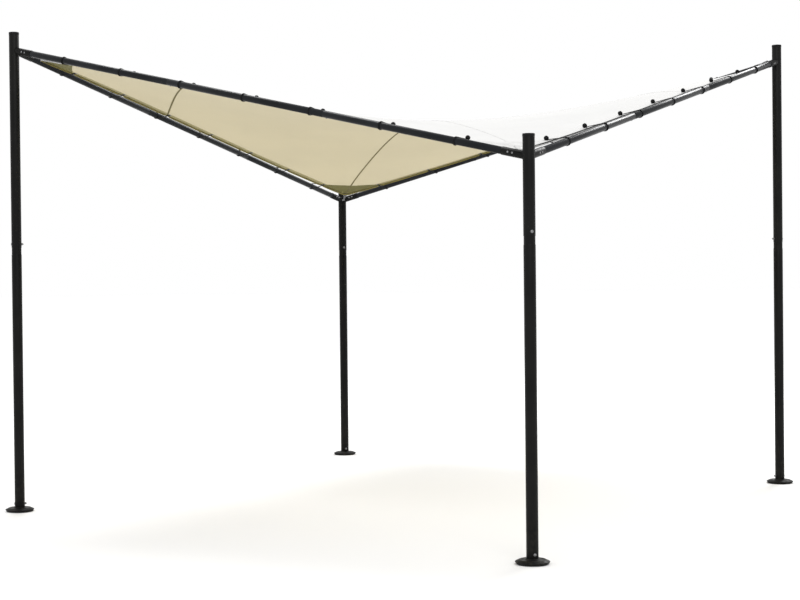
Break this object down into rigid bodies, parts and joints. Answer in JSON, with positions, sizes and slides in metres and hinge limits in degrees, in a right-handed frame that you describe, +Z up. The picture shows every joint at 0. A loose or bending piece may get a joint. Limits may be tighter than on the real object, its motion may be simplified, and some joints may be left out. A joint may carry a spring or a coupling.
{
  "type": "garden pavilion",
  "caption": "Open garden pavilion with a saddle-shaped cloth roof held by elastic ball ties between high and low steel posts.",
  "frame": {"origin": "centre of the four feet, on the ground", "axes": "+Z up; X and Y along the square's sides; the high posts stand at -X-Y and +X+Y"},
  "size_m": [3.672, 3.672, 2.905],
  "materials": {
    "post_paint": "satin black powder coat",
    "rail_paint": "semi-gloss anthracite powder coat",
    "canopy_cloth": "matt woven polyester, beige below and off-white above",
    "bungee_black": "black braided elastic with a matt moulded ball",
    "tie_steel": "bright zinc plated steel"
  },
  "bodies": {
    "root": {"foot_left": "post_paint", "lower_post_left": "post_paint", "upper_post_left": "post_paint", "corner_tie_left": "tie_steel", "foot_right": "post_paint", "lower_post_right": "post_paint", "upper_post_right": "post_paint", "corner_tie_right": "tie_steel", "foot_front": "post_paint", "lower_post_front": "post_paint", "upper_post_front": "post_paint", "corner_tie_front": "tie_steel", "foot_back": "post_paint", "lower_post_back": "post_paint", "upper_post_back": "post_paint", "corner_tie_back": "tie_steel", "rail_left_front_high": "rail_paint", "rail_left_front_middle": "rail_paint", "rail_left_front_low": "rail_paint", "bungee_left_front_1": "bungee_black", "bungee_left_front_2": "bungee_black", "bungee_left_front_3": "bungee_black", "bungee_left_front_4": "bungee_black", "bungee_left_front_5": "bungee_black", "bungee_left_front_6": "bungee_black", "bungee_left_front_7": "bungee_black", "rail_left_back_high": "rail_paint", "rail_left_back_middle": "rail_paint", "rail_left_back_low": "rail_paint", "bungee_left_back_1": "bungee_black", "bungee_left_back_2": "bungee_black", "bungee_left_back_3": "bungee_black", "bungee_left_back_4": "bungee_black", "bungee_left_back_5": "bungee_black", "bungee_left_back_6": "bungee_black", "bungee_left_back_7": "bungee_black", "rail_right_front_high": "rail_paint", "rail_right_front_middle": "rail_paint", "rail_right_front_low": "rail_paint", "bungee_right_front_1": "bungee_black", "bungee_right_front_2": "bungee_black", "bungee_right_front_3": "bungee_black", "bungee_right_front_4": "bungee_black", "bungee_right_front_5": "bungee_black", "bungee_right_front_6": "bungee_black", "bungee_right_front_7": "bungee_black", "rail_right_back_high": "rail_paint", "rail_right_back_middle": "rail_paint", "rail_right_back_low": "rail_paint", "bungee_right_back_1": "bungee_black", "bungee_right_back_2": "bungee_black", "bungee_right_back_3": "bungee_black", "bungee_right_back_4": "bungee_black", "bungee_right_back_5": "bungee_black", "bungee_right_back_6": "bungee_black", "bungee_right_back_7": "bungee_black", "canopy": "canopy_cloth"}
  },
  "joints": []
}
